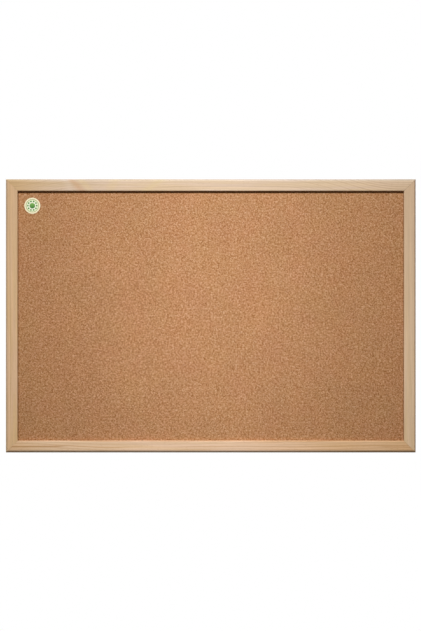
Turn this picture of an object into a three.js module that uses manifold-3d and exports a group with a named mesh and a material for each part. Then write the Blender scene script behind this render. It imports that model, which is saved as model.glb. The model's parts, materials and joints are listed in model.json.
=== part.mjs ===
// A framed cork notice board: four mitred pine rails around a panel of cork, soft fibreboard and
// hardboard, held from behind by driven metal points and hung by two D-rings.
// Millimetres, +Z up. The front faces -Y and the wall lies towards +Y. The origin is the middle of
// the top rail's back face. Left and right are those of a reader in front of the board.
import * as THREE from 'three';
import { mergeVertices } from 'three/addons/utils/BufferGeometryUtils.js';
import Module from 'manifold-3d';

const wasm = await Module();
wasm.setup();

// Whole board
const boardWidth = 900;
const boardHeight = 600;

// Pine moulding of the frame
const railWidth = 26;
const lipDepth = 5;
const rebateWidth = 8;
const outerRound = 5;
const innerRound = 1.6;
const backRound = 0.8;
const mitreGap = 0.2;
const backRecess = 1.6;

// Panel layers, which lie in the rebate behind the lip
const corkThickness = 2;
const coreThickness = 5;
const backThickness = 2.5;
const panelPlay = 1;
const seatGap = 0.1;

// Wedge nails, two across each mitre
const wedgeLength = 5;
const wedgeThickness = 0.6;
const wedgeHeight = 10;
const wedgeSink = 0.5;
const wedgeHalfAngle = 55;
const wedgeShares = { outer: 0.27, inner: 0.64 };

// Flat points driven into the rebate over the back
const pointWidth = 6;
const pointThickness = 0.5;
const pointDriven = 6;
const pointReach = 9;
const pointTip = 2.4;
const longPointShares = [-0.8, -0.48, -0.16, 0.16, 0.48, 0.8];
const shortPointShares = [-0.75, -0.25, 0.25, 0.75];
const slotClearance = 0.3;

// D-ring hangers on the back of the two stiles
const hangerDrop = 90;
const strapWidth = 9.5;
const strapThickness = 0.7;
const foldGap = 0.1;
const foldSlope = 35;
const ringWire = 2;
const ringSideGap = 1.25;
const ringCornerGap = 0.25;
const ringSide = 3.5;
const ringSplit = 0.5;
const ringPlay = 0.15;

// Pan-head screws of the hangers
const screwLength = 12;
const screwShank = 3;
const screwPoint = 3.5;
const headWidth = 5.6;
const headHeight = 1.7;
const headRound = 0.9;
const crossWidth = 0.8;
const crossSpan = 3.2;
const crossDepth = 1;
const screwSpacing = 9;
const screwStandOff = 0.6;
const boreClearance = 0.3;

// Rubber bumpers on the back of the stiles
const bumperWidth = 10;
const bumperHeight = 4;
const bumperRound = 0.9;
const bumperDrop = 45;

// Round paper label on the cork
const labelWidth = 35;
const labelThickness = 0.2;
const labelMargin = 14.5;

// One overrun serves every cut
const overrun = 1;
const arcSteps = 8;
const turnedArcSteps = 3;
const roundSteps = 32;
const wireSides = 12;
const ringSteps = 72;

const backWidth = railWidth - rebateWidth;
const pointMiddle = -backRecess - pointThickness / 2;
const backFront = pointMiddle - pointThickness / 2 - seatGap - backThickness;
const coreFront = backFront - seatGap - coreThickness;
const corkFront = coreFront - seatGap - corkThickness;
const lipBack = corkFront - seatGap;
const frameFront = lipBack - lipDepth;
const panelWidth = boardWidth - 2 * (backWidth + panelPlay);
const panelHeight = boardHeight - 2 * (backWidth + panelPlay);

const barRadius = ringWire / 2;
const loopRadius = barRadius + ringPlay;
const knuckleRadius = loopRadius + strapThickness;
const axisHeight = seatGap + knuckleRadius;
const strapTop = seatGap + 2 * strapThickness + foldGap;
const ringCorner = barRadius + ringSideGap - ringCornerGap;
const bowRadius = strapWidth / 2 + ringSideGap + barRadius;
const bowDrop = ringCorner + ringSide;
const ringReach = bowDrop + bowRadius;
const firstScrewDrop = ringReach + barRadius + screwStandOff + headWidth / 2;
const secondScrewDrop = firstScrewDrop + screwSpacing;

const finishes = {
  pine: { color: 0xe4c8ac, roughness: 0.55, metalness: 0 },
  cork: { color: 0xc38f67, roughness: 0.92, metalness: 0 },
  fibreboard: { color: 0xb3946b, roughness: 0.95, metalness: 0 },
  hardboard: { color: 0x8a6242, roughness: 0.8, metalness: 0 },
  zincSteel: { color: 0xbfc1c2, roughness: 0.35, metalness: 1 },
  darkSteel: { color: 0x77787a, roughness: 0.5, metalness: 1 },
  rubber: { color: 0x2b2b2c, roughness: 0.7, metalness: 0 },
  paper: { color: 0xeef0d8, roughness: 0.5, metalness: 0 },
};

// A named piece in its own material
function piece(name, geometry, finish) {
  const mesh = new THREE.Mesh(geometry, new THREE.MeshStandardMaterial(finishes[finish]));
  mesh.name = name;
  return mesh;
}

// A closed geometry as a solid that can be cut
function solidOf(geometry) {
  const bare = geometry.index ? geometry.toNonIndexed() : geometry.clone();
  bare.deleteAttribute('normal');
  bare.deleteAttribute('uv');
  const merged = mergeVertices(bare);
  return new wasm.Manifold(new wasm.Mesh({
    numProp: 3,
    vertProperties: merged.attributes.position.array,
    triVerts: new Uint32Array(merged.index.array),
  }));
}

function geometryOf(solid) {
  const mesh = solid.getMesh();
  const geometry = new THREE.BufferGeometry();
  geometry.setAttribute('position', new THREE.BufferAttribute(mesh.vertProperties, 3));
  geometry.setIndex(new THREE.BufferAttribute(mesh.triVerts, 1));
  geometry.computeVertexNormals();
  return geometry;
}

function cut(geometry, tools) {
  return geometryOf(tools.reduce((left, tool) => left.subtract(solidOf(tool)), solidOf(geometry)));
}

function common(geometry, other) {
  return geometryOf(solidOf(geometry).intersect(solidOf(other)));
}

// An outline with X downwards and Y towards the wall, carried along X about the middle
function bar(shape, length) {
  const options = { depth: length, bevelEnabled: false, curveSegments: arcSteps };
  return new THREE.ExtrudeGeometry(shape, options).translate(0, 0, -length / 2).rotateY(Math.PI / 2);
}

// An outline in X and Z that fills Y from front to back
function slab(shape, front, back) {
  const options = { depth: back - front, bevelEnabled: false, curveSegments: arcSteps };
  return new THREE.ExtrudeGeometry(shape, options).rotateX(Math.PI / 2).translate(0, back, 0);
}

// A round rod along Y from front to back
function rod(radius, front, back) {
  const middle = (front + back) / 2;
  return new THREE.CylinderGeometry(radius, radius, back - front, roundSteps).translate(0, middle, 0);
}

// A turned piece about Y, from a profile of radius and height that starts and ends on the axis
function turned(profile) {
  return new THREE.LatheGeometry(profile.getPoints(turnedArcSteps), roundSteps);
}

function rectangle(left, low, right, high) {
  const shape = new THREE.Shape();
  shape.moveTo(left, low);
  shape.lineTo(right, low);
  shape.lineTo(right, high);
  shape.lineTo(left, high);
  return shape;
}

// Section of the moulding: X runs inwards from the outer edge, Y from the front face to the back
function railSection() {
  const shape = new THREE.Shape();
  shape.moveTo(outerRound, frameFront);
  shape.lineTo(railWidth - innerRound, frameFront);
  shape.absarc(railWidth - innerRound, frameFront + innerRound, innerRound, -Math.PI / 2, 0);
  shape.lineTo(railWidth, lipBack);
  shape.lineTo(backWidth, lipBack);
  shape.lineTo(backWidth, 0);
  shape.lineTo(backRound, 0);
  shape.absarc(backRound, -backRound, backRound, Math.PI / 2, Math.PI);
  shape.lineTo(0, frameFront + outerRound);
  shape.absarc(outerRound, frameFront + outerRound, outerRound, Math.PI, 1.5 * Math.PI);
  return shape;
}

// The moulding along X with its outer edge at the top, both ends cut at 45 degrees
function mitredRail(length) {
  const geometry = bar(railSection(), length);
  const position = geometry.attributes.position;
  for (let i = 0; i < position.count; i += 1) {
    const inwards = -position.getZ(i);
    const end = length / 2 - inwards - mitreGap / Math.SQRT2;
    position.setX(i, Math.sign(position.getX(i)) * end);
  }
  return geometry;
}

// A wedge nail seen from behind: two wings that open along X from a ridge at the origin
function wedgeOutline(clearance) {
  const angle = THREE.MathUtils.degToRad(wedgeHalfAngle);
  const along = new THREE.Vector2(Math.cos(angle), Math.sin(angle));
  const half = wedgeThickness / 2 + clearance;
  const ridge = half / along.y;
  const tip = along.clone().multiplyScalar(wedgeLength + clearance);
  const side = new THREE.Vector2(-along.y, along.x).multiplyScalar(half);
  const outer = tip.clone().add(side);
  const inner = tip.clone().sub(side);
  const shape = new THREE.Shape();
  shape.moveTo(-ridge, 0);
  shape.lineTo(outer.x, -outer.y);
  shape.lineTo(inner.x, -inner.y);
  shape.lineTo(ridge, 0);
  shape.lineTo(inner.x, inner.y);
  shape.lineTo(outer.x, outer.y);
  return shape;
}

// The wedge, or the slot it is driven into, at one end of a rail; end is -1 or 1
function wedgeAt(length, end, share, clearance) {
  const inwards = share * backWidth;
  const front = -wedgeSink - wedgeHeight - clearance;
  const back = clearance ? overrun : -wedgeSink;
  const turn = (2 + end) * Math.PI / 4;
  return slab(wedgeOutline(clearance), front, back)
    .rotateY(turn)
    .translate(end * (length / 2 - inwards), 0, -inwards);
}

// A flat point, with its tip in the wood and its tail over the panel
function pointBlade() {
  const half = pointWidth / 2;
  const shape = new THREE.Shape();
  shape.moveTo(-half, -pointReach);
  shape.lineTo(half, -pointReach);
  shape.lineTo(half, pointDriven - pointTip);
  shape.lineTo(0, pointDriven);
  shape.lineTo(-half, pointDriven - pointTip);
  return slab(shape, pointMiddle - pointThickness / 2, pointMiddle + pointThickness / 2);
}

// The slot that a flat point leaves in the wall of the rebate
function pointSlot() {
  const half = pointWidth / 2 + slotClearance;
  const height = pointThickness / 2 + slotClearance;
  const shape = rectangle(-half, -overrun, half, pointDriven + slotClearance);
  return slab(shape, pointMiddle - height, pointMiddle + height);
}

// One side of the frame, lying as the top rail does, with the metal driven into it
function makeSide(side) {
  const group = new THREE.Group();
  const ends = [-1, 1];
  const tools = [];
  for (const end of ends) {
    for (const share of Object.values(wedgeShares)) {
      tools.push(wedgeAt(side.length, end, share, slotClearance));
    }
  }
  side.pointShares.forEach((share, index) => {
    const along = share * side.panelLength / 2;
    tools.push(pointSlot().translate(along, 0, -backWidth));
    const blade = pointBlade().translate(along, 0, -backWidth);
    group.add(piece(`${side.name}_point_${index + 1}`, blade, 'zincSteel'));
  });
  for (const along of side.screwPlaces) {
    const hole = rod(screwShank / 2 + boreClearance, -screwLength - boreClearance, overrun);
    tools.push(hole.translate(along, 0, -backWidth / 2));
  }
  for (const [end, corner] of Object.entries(side.wedgeCorners)) {
    for (const [row, share] of Object.entries(wedgeShares)) {
      const wedge = wedgeAt(side.length, Number(end), share, 0);
      group.add(piece(`wedge_nail_${corner}_${row}`, wedge, 'darkSteel'));
    }
  }
  group.add(piece(side.rail, cut(mitredRail(side.length), tools), 'pine'));
  group.rotation.y = side.turn;
  group.position.set(side.x, 0, side.z);
  return group;
}

// Side outline of the strap: a strip folded back on itself round the bar of the ring
function strapSection() {
  const slope = THREE.MathUtils.degToRad(foldSlope);
  const leave = Math.PI / 2 - slope;
  const end = secondScrewDrop + strapWidth / 2;
  const upperLow = strapTop - strapThickness;
  const reachOf = (radius, level) => {
    const fall = axisHeight + radius * Math.cos(slope) - level;
    return radius * Math.sin(slope) + fall / Math.tan(slope);
  };
  const shape = new THREE.Shape();
  shape.moveTo(end, seatGap);
  shape.lineTo(end, seatGap + strapThickness);
  shape.lineTo(0, seatGap + strapThickness);
  shape.absarc(0, axisHeight, loopRadius, -Math.PI / 2, leave, true);
  shape.lineTo(reachOf(loopRadius, upperLow), upperLow);
  shape.lineTo(end, upperLow);
  shape.lineTo(end, strapTop);
  shape.lineTo(reachOf(knuckleRadius, strapTop), strapTop);
  shape.absarc(0, axisHeight, knuckleRadius, leave, 1.5 * Math.PI);
  return shape;
}

// The strap seen from behind: straight sides and a round end about the lower screw
function strapOutline() {
  const half = strapWidth / 2;
  const shape = new THREE.Shape();
  shape.moveTo(half, knuckleRadius + overrun);
  shape.lineTo(-half, knuckleRadius + overrun);
  shape.lineTo(-half, -secondScrewDrop);
  shape.absarc(0, -secondScrewDrop, half, Math.PI, 2 * Math.PI);
  return shape;
}

function makeStrap() {
  const blank = slab(strapOutline(), 0, axisHeight + knuckleRadius + overrun);
  const bore = screwShank / 2 + boreClearance;
  const holes = [firstScrewDrop, secondScrewDrop].map((drop) => (
    rod(bore, 0, strapTop + overrun).translate(0, 0, -drop)));
  return cut(common(bar(strapSection(), strapWidth + overrun), blank), holes);
}

// The ring's wire, hanging below its own straight bar and parted in the middle of that bar
class RingCurve extends THREE.Curve {
  constructor() {
    super();
    const corner = bowRadius - ringCorner;
    this.path = new THREE.Path();
    this.path.moveTo(ringSplit / 2, 0);
    this.path.lineTo(corner, 0);
    this.path.absarc(corner, -ringCorner, ringCorner, Math.PI / 2, 0, true);
    this.path.lineTo(bowRadius, -bowDrop);
    this.path.absarc(0, -bowDrop, bowRadius, 0, -Math.PI, true);
    this.path.lineTo(-bowRadius, -ringCorner);
    this.path.absarc(-corner, -ringCorner, ringCorner, Math.PI, Math.PI / 2, true);
    this.path.lineTo(-ringSplit / 2, 0);
  }

  getPoint(share, target = new THREE.Vector3()) {
    const place = this.path.getPointAt(share);
    return target.set(place.x, 0, place.y);
  }
}

function makeRing() {
  const around = Array.from({ length: wireSides }, (_, i) => {
    const angle = 2 * Math.PI * i / wireSides;
    return new THREE.Vector2(Math.cos(angle), Math.sin(angle)).multiplyScalar(barRadius);
  });
  return new THREE.ExtrudeGeometry(new THREE.Shape(around), {
    steps: ringSteps,
    extrudePath: new RingCurve(),
  });
}

// A pan-head wood screw with its head's underside at the origin and its point towards the front
function makeScrew() {
  const head = headWidth / 2;
  const shank = screwShank / 2;
  const profile = new THREE.Path();
  profile.moveTo(0, -screwLength);
  profile.lineTo(shank, screwPoint - screwLength);
  profile.lineTo(shank, 0);
  profile.lineTo(head, 0);
  profile.lineTo(head, headHeight - headRound);
  profile.absarc(head - headRound, headHeight - headRound, headRound, 0, Math.PI / 2);
  profile.lineTo(0, headHeight);
  const bottom = headHeight - crossDepth;
  const reach = crossSpan / 2;
  const half = crossWidth / 2;
  return cut(turned(profile), [
    slab(rectangle(-reach, -half, reach, half), bottom, headHeight + overrun),
    slab(rectangle(-half, -reach, half, reach), bottom, headHeight + overrun),
  ]);
}

function makeBumper() {
  const radius = bumperWidth / 2;
  const profile = new THREE.Path();
  profile.moveTo(0, 0);
  profile.lineTo(radius, 0);
  profile.lineTo(radius, bumperHeight - bumperRound);
  profile.absarc(radius - bumperRound, bumperHeight - bumperRound, bumperRound, 0, Math.PI / 2);
  profile.lineTo(0, bumperHeight);
  return turned(profile);
}

// A hanger about the foot of its ring's axis: the strap and its screws below, the ring laid down on it
function makeHanger(name) {
  const group = new THREE.Group();
  group.add(piece(`${name}_hanger_strap`, makeStrap(), 'zincSteel'));
  const ring = piece(`${name}_hanger_ring`, makeRing(), 'zincSteel');
  const crossing = bowDrop + Math.sqrt(bowRadius ** 2 - (strapWidth / 2) ** 2);
  ring.position.y = axisHeight;
  ring.rotation.x = Math.asin((strapTop + seatGap + barRadius - axisHeight) / crossing);
  group.add(ring);
  const screwDrops = { upper: firstScrewDrop, lower: secondScrewDrop };
  for (const [place, drop] of Object.entries(screwDrops)) {
    const screw = piece(`${name}_hanger_screw_${place}`, makeScrew(), 'zincSteel');
    screw.position.set(0, strapTop + seatGap, -drop);
    group.add(screw);
  }
  return group;
}

function makePanel() {
  const layers = [
    ['cork_sheet', corkFront, corkThickness, 'cork'],
    ['fibreboard_core', coreFront, coreThickness, 'fibreboard'],
    ['hardboard_back', backFront, backThickness, 'hardboard'],
  ];
  return layers.map(([name, front, thickness, finish]) => {
    const sheet = new THREE.BoxGeometry(panelWidth, thickness, panelHeight);
    return piece(name, sheet.translate(0, front + thickness / 2, 0), finish);
  });
}

const screwAlong = [firstScrewDrop, secondScrewDrop].map((drop) => (
  boardHeight / 2 - hangerDrop - drop));
const long = { length: boardWidth, panelLength: panelWidth, pointShares: longPointShares };
const short = { length: boardHeight, panelLength: panelHeight, pointShares: shortPointShares };
const sides = [
  {
    ...long,
    name: 'top',
    rail: 'top_rail',
    turn: 0,
    x: 0,
    z: boardHeight / 2,
    screwPlaces: [],
    wedgeCorners: { '-1': 'top_left', 1: 'top_right' },
  },
  {
    ...long,
    name: 'bottom',
    rail: 'bottom_rail',
    turn: Math.PI,
    x: 0,
    z: -boardHeight / 2,
    screwPlaces: [],
    wedgeCorners: { '-1': 'bottom_right', 1: 'bottom_left' },
  },
  {
    ...short,
    name: 'left',
    rail: 'left_stile',
    turn: -Math.PI / 2,
    x: -boardWidth / 2,
    z: 0,
    screwPlaces: screwAlong,
    wedgeCorners: {},
  },
  {
    ...short,
    name: 'right',
    rail: 'right_stile',
    turn: Math.PI / 2,
    x: boardWidth / 2,
    z: 0,
    screwPlaces: screwAlong.map((along) => -along),
    wedgeCorners: {},
  },
];

// The board about its own centre, with the back of its frame at Y 0
const board = new THREE.Group();
board.add(...sides.map(makeSide), ...makePanel());

const stileMiddle = boardWidth / 2 - backWidth / 2;
for (const [name, side] of [['left', -1], ['right', 1]]) {
  const hanger = makeHanger(name);
  hanger.position.set(side * stileMiddle, 0, boardHeight / 2 - hangerDrop);
  board.add(hanger);
  for (const [place, end] of [['upper', 1], ['lower', -1]]) {
    const bumper = piece(`${name}_bumper_${place}`, makeBumper(), 'rubber');
    bumper.position.set(side * stileMiddle, seatGap, end * (boardHeight / 2 - bumperDrop));
    board.add(bumper);
  }
}

const labelDisc = rod(labelWidth / 2, lipBack - labelThickness, lipBack);
const label = piece('round_label', labelDisc, 'paper');
const labelInset = railWidth + labelMargin + labelWidth / 2;
label.position.set(labelInset - boardWidth / 2, 0, boardHeight / 2 - labelInset);
board.add(label);

board.position.z = backWidth / 2 - boardHeight / 2;
const group = new THREE.Group();
group.add(board);

export default group;
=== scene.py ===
# The looks of the framed cork notice board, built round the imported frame.
# Metres, +Z up. The front faces -Y and the wall lies towards +Y, as in the frame.
import json
import math

import bmesh
import bpy
import numpy as np
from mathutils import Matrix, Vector

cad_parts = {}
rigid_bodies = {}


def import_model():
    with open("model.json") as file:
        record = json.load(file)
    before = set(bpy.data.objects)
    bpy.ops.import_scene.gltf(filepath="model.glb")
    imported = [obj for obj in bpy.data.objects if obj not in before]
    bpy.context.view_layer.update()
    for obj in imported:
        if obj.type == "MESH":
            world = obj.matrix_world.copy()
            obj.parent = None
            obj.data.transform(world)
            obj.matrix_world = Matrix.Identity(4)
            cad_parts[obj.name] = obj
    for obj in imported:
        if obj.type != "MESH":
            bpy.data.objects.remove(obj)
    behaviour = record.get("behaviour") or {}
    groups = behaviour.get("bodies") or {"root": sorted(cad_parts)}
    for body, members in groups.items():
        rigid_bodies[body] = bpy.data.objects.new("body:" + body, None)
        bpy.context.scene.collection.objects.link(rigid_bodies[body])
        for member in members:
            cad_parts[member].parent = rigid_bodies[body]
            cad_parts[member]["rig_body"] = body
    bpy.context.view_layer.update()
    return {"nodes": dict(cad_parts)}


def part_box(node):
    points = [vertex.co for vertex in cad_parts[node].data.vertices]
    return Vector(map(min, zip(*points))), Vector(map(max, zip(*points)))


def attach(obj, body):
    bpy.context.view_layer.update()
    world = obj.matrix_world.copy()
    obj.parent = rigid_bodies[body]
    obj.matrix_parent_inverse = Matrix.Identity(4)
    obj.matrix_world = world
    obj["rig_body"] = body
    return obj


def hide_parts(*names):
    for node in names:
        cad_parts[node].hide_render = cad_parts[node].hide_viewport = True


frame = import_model()
nodes = frame["nodes"]
MM = 0.001


def tone(red, green, blue):
    """A colour given as 0 to 255 screen values, as linear RGBA by the sRGB curve."""
    linear = []
    for value in (red, green, blue):
        share = value / 255
        linear.append(share / 12.92 if share <= 0.04045 else ((share + 0.055) / 1.055) ** 2.4)
    return (*linear, 1.0)


def grey(level):
    """A plain grey as linear RGBA."""
    return (level, level, level, 1.0)


# The photograph's frame and the board in it, in pixels
PHOTO_WIDTH_PX = 421
PHOTO_HEIGHT_PX = 631
BOARD_LEFT_PX = 5.93
BOARD_RIGHT_PX = 415.64
BOARD_TOP_PX = 179.65
BOARD_BOTTOM_PX = 452.13

# Camera. The board is widest where the rounding of its front edges ends
CAMERA_DISTANCE = 4.0
OUTLINE_DEPTH = 5.0 * MM
SENSOR_WIDTH_MM = 36.0
CLIP_START = 0.1
CLIP_END = 50.0

# Floor: where it fades out, the level that it shows and the lower one that lights the board
FLOOR_DROP = 1.8
FLOOR_RADIUS = 3.2
FLOOR_SIDES = 96
FLOOR_FADE_SHARES = (0.35, 0.97)
FLOOR_SHOWN = 0.9
FLOOR_BOUNCE = 0.25
FLOOR_ROUGHNESS = 0.9
FLOOR_GLOSS = 0.1

# The kinds of lamp: keys above on either side, soft glows on the middle, lamps behind
LAMP_DISTANCE = 6.0
REAR_DISTANCE = 4.0
KEY_LAMP = {"kind": "AREA", "size": 1.0, "distance": LAMP_DISTANCE, "colour": (1.0, 0.985, 0.92)}
GLOW_LAMP = {"kind": "SPOT", "size": 0.3, "distance": LAMP_DISTANCE, "colour": (1.0, 1.01, 1.08)}
REAR_LAMP = {"kind": "AREA", "size": 3.2, "distance": REAR_DISTANCE, "colour": (1.0, 1.0, 1.0)}

# Each lamp's share of a plain white level, and where it stands or points
KEY_RISE = 1.15
KEYS = [
    {"name": "key_left", "aside": -0.55, "share": 0.33},
    {"name": "key_right", "aside": 0.55, "share": 0.225},
]
GLOWS = [
    {"share": 0.18, "radius": 0.28, "aside": 0.0, "rise": 0.0},
    {"share": 0.33, "radius": 0.6, "aside": -0.01, "rise": 0.165},
]
REAR_SHARE = 0.42
REAR_TURN = math.radians(38)
REAR_RISE = 0.35

# Light from all round. The backdrop itself shows as plain white
AMBIENT = 0.07
AMBIENT_COLOUR = (1.0, 0.8, 0.5, 1.0)

# Edges of the pieces that keep their CAD shape
RAIL_BEVEL = 0.22 * MM
BACK_BEVEL = 0.25 * MM
STEEL_BEVEL = 0.12 * MM
HEAD_BEVEL = 0.08 * MM
NAIL_BEVEL = 0.06 * MM
RUBBER_BEVEL = 0.2 * MM
BEVEL_SEGMENTS = 2
BEVEL_FROM_ANGLE = math.radians(35)
MERGE_DISTANCE = 0.002 * MM
FLAT_ANGLE = math.radians(0.5)
JOIN_ANGLE = math.radians(60)
NORMAL_WEIGHT = 100

# Surfaces: strength and depth of the bump, roughness as one value or as a span, and gloss
SURFACES = {
    "pine": {"bump": 0.35, "depth": 0.12 * MM, "rough": (0.6, 0.74), "gloss": 0.2},
    "cork": {"bump": 0.5, "depth": 0.35 * MM, "rough": 0.95, "gloss": 0.12},
    "label": {"bump": 0.15, "depth": 0.02 * MM, "rough": (0.38, 0.5), "gloss": 0.4},
    "hardboard": {"bump": 0.5, "depth": 0.2 * MM, "rough": (0.7, 0.88), "gloss": 0.25},
    "fibreboard": {"bump": 0.6, "depth": 0.3 * MM, "rough": 0.95, "gloss": 0.1},
    "zinc_plate": {"bump": 0.35, "depth": 0.012 * MM, "rough": (0.34, 0.5), "gloss": 0.5},
    "blued_steel": {"bump": 0.35, "depth": 0.012 * MM, "rough": (0.38, 0.55), "gloss": 0.5},
    "rubber": {"bump": 0.3, "depth": 0.03 * MM, "rough": (0.6, 0.75), "gloss": 0.5},
}

# Smooth steps: the spans that hold most or nearly all of a noise, and a step downwards
MOST = (0.3, 0.7)
NEARLY_ALL = (0.2, 0.8)
FALLING = (1.0, 0.0)

# Pine noises, in repeats a metre along and across the grain. A rail's seed shifts them all
PINE_NOISES = {
    "slow": {"along": 2.2, "across": 9.0, "detail": 2.0, "roughness": 0.45},
    "quick": {"along": 9.0, "across": 40.0, "detail": 1.0, "roughness": 0.5},
    "fade": {"along": 5.0, "across": 18.0, "detail": 1.0, "roughness": 0.5},
    "patch": {"along": 6.0, "across": 110.0, "detail": 2.0, "roughness": 0.5},
    "streak": {"along": 5.0, "across": 230.0, "detail": 2.0, "roughness": 0.5},
    "fibre": {"along": 22.0, "across": 850.0, "detail": 3.0, "roughness": 0.6},
    "hair": {"along": 45.0, "across": 3600.0, "detail": 2.0, "roughness": 0.6},
}
SEED_STEPS = (1.37, 0.71, 2.03)

# Growth rings: their feathering, where in a ring the late wood sets in and ends, and how its
# darkness changes from year to year and along the rail
RING_FEATHER = 1.2 * MM
LATE_START_SHARES = (0.32, 0.88)
LATE_END_SHARES = (0.92, 1.0)
YEAR_SCALE = 3.1
YEAR_LEVELS = (0.3, 1.0)
FADE_LEVELS = (0.35, 1.0)

# The early wood's patches, and how a vein fades towards its ends and sways on its way
PATCH_SPAN = (0.35, 0.65)
VEIN_FADE = 30.0 * MM
VEIN_SWAY = 6.0 * MM

# Resin canals: repeats a metre along and across, a dash's edge, how few there are, how dark
CANAL_REPEATS = (80.0, 1600.0, 1600.0)
CANAL_EDGE = (0.1, 0.28)
CANAL_FEWNESS = (0.7, 0.74)
CANAL_DARKNESS = 0.7

# Fine grain: for each noise its span and the levels that it gives
FINE_GRAIN = {
    "streak": (MOST, (0.95, 1.04)),
    "fibre": ((0.25, 0.75), (0.95, 1.04)),
    "hair": (MOST, (0.955, 1.035)),
}
PINE_RELIEF_SHARES = {"fine": 0.45, "late": 0.4, "canals": -0.3}

# Painted shade on the rounding of a rail's outer edge, and on the top rail a paler painted
# highlight, full down to one depth behind the face and gone at the next. ALL_ALONG is a span
# that ends before any rail starts, for painted shading that runs its whole length
ARRIS_FULL_DEPTH = 1.8 * MM
ARRIS_END_DEPTH = 4.0 * MM
ALL_ALONG = (-1.0, -0.9)

# The rails. Places along one are the frame's own x or z, and places across it count from its
# middle. The outer side is 1 where it faces +X or +Z, and otherwise -1.
# The pith: how far it lies aside from that middle and how deep behind the origin, and how far the
# rings round it stray slowly and quickly
# A drift of the rings: start, end, amount
# A tide of another tone: start, end, strength, colour
# A vein, which is a single dark line: start, end, place across, width, strength
# A stain: place, lean, width, strength, colour
# A zone of painted light and shade on the outer edge: how far in it starts, how far in it is
# full, where it sets in, tint
RAILS = {
    "top_rail": {
        "along": "X",
        "pith": {"aside": -55.0 * MM, "deep": 20.0 * MM, "warp": 12.0 * MM, "ripple": 2.0 * MM},
        "ring": 4.2 * MM,
        "contrast": 0.55,
        "seed": 3.0,
        "early": tone(220, 196, 174),
        "warm": tone(217, 192, 162),
        "late": tone(182, 147, 110),
        "drifts": [(-0.46, -0.28, -22.0 * MM), (0.16, 0.42, 42.0 * MM)],
        "tides": [
            (-0.3, -0.45, 0.85, tone(214, 178, 130)),
            (0.2, 0.42, 0.5, tone(232, 203, 172)),
        ],
        "veins": [],
        "stains": [
            (-0.315, 0.3, 14.0 * MM, 0.3, tone(226, 206, 190)),
            (-0.296, 1.0, 16.0 * MM, 0.36, tone(204, 152, 106)),
            (-0.276, 0.9, 15.0 * MM, 0.35, tone(226, 200, 150)),
            (-0.217, -0.5, 18.0 * MM, 0.35, tone(220, 194, 146)),
            (-0.125, -1.2, 18.0 * MM, 0.35, tone(218, 196, 146)),
        ],
        "outer_side": 1,
        # A paler painted highlight, then painted shade on the top edge's rounding, darker towards
        # the right
        "painted_edge_shading": [
            (7.0 * MM, 4.2 * MM, ALL_ALONG, (1.02, 1.05, 1.09, 1.0)),
            (3.6 * MM, 2.0 * MM, ALL_ALONG, (0.74, 0.78, 0.83, 1.0)),
            (3.2 * MM, 2.2 * MM, (-0.25, 0.5), (0.82, 0.85, 0.9, 1.0)),
        ],
    },
    "bottom_rail": {
        "along": "X",
        "pith": {"aside": 55.0 * MM, "deep": 12.0 * MM, "warp": 16.0 * MM, "ripple": 3.0 * MM},
        "ring": 5.6 * MM,
        "contrast": 0.8,
        "seed": 11.0,
        "early": tone(239, 206, 177),
        "warm": tone(234, 200, 163),
        "late": tone(192, 140, 88),
        "drifts": [(-0.4, -0.2, -7.0 * MM)],
        "tides": [
            (0.0, 0.34, 0.55, tone(232, 187, 138)),
            (-0.18, -0.28, 0.55, tone(245, 213, 181)),
            (-0.34, -0.46, 0.6, tone(236, 193, 147)),
        ],
        "veins": [
            (-0.47, -0.31, -0.2 * MM, 2.6 * MM, 0.75),
            (0.04, 0.17, 8.4 * MM, 1.2 * MM, 0.5),
            (0.36, 0.47, 0.6 * MM, 1.5 * MM, 0.6),
            (0.38, 0.47, -4.4 * MM, 1.3 * MM, 0.5),
        ],
        "stains": [],
        "outer_side": -1,
        # Painted shade on the rounding of the bottom edge, which faces down and away from the lamps
        "painted_edge_shading": [(7.0 * MM, 4.2 * MM, ALL_ALONG, (0.62, 0.64, 0.68, 1.0))],
    },
    "left_stile": {
        "along": "Z",
        "pith": {"aside": 50.0 * MM, "deep": 20.0 * MM, "warp": 8.0 * MM, "ripple": 1.0 * MM},
        "ring": 4.1 * MM,
        "contrast": 0.45,
        "seed": 19.0,
        "early": tone(237, 200, 165),
        "warm": tone(232, 195, 148),
        "late": tone(198, 156, 108),
        "drifts": [],
        "tides": [(-0.55, 0.0, 0.75, tone(219, 184, 148))],
        "veins": [],
        "stains": [],
        "outer_side": -1,
        # Painted shade on the rounding of the left edge
        "painted_edge_shading": [(5.5 * MM, 2.5 * MM, ALL_ALONG, (0.8, 0.82, 0.87, 1.0))],
    },
    "right_stile": {
        "along": "Z",
        "pith": {"aside": -60.0 * MM, "deep": 30.0 * MM, "warp": 6.0 * MM, "ripple": 1.0 * MM},
        "ring": 2.3 * MM,
        "contrast": 0.25,
        "seed": 27.0,
        "early": tone(238, 208, 178),
        "warm": tone(234, 203, 166),
        "late": tone(204, 170, 134),
        "drifts": [],
        "tides": [(-0.55, 0.0, 0.95, tone(217, 188, 159))],
        "veins": [],
        "stains": [],
        "outer_side": 1,
        # Painted shade on the rounding of the right edge, darker than on the left
        "painted_edge_shading": [(4.8 * MM, 2.0 * MM, ALL_ALONG, (0.7, 0.66, 0.68, 1.0))],
    },
}

# Cork form: the grid's pitch, the granules' size, how far they differ in level and are domed,
# and the cells to spare, one before the sheet and the rest after it
CORK_PITCH = 2.0 * MM
GRANULE = 3.4 * MM
GRANULE_STEP = 0.10 * MM
GRANULE_DOME = 0.12 * MM
GRANULE_SEED = 41
SPARE_CELLS = 3

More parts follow.
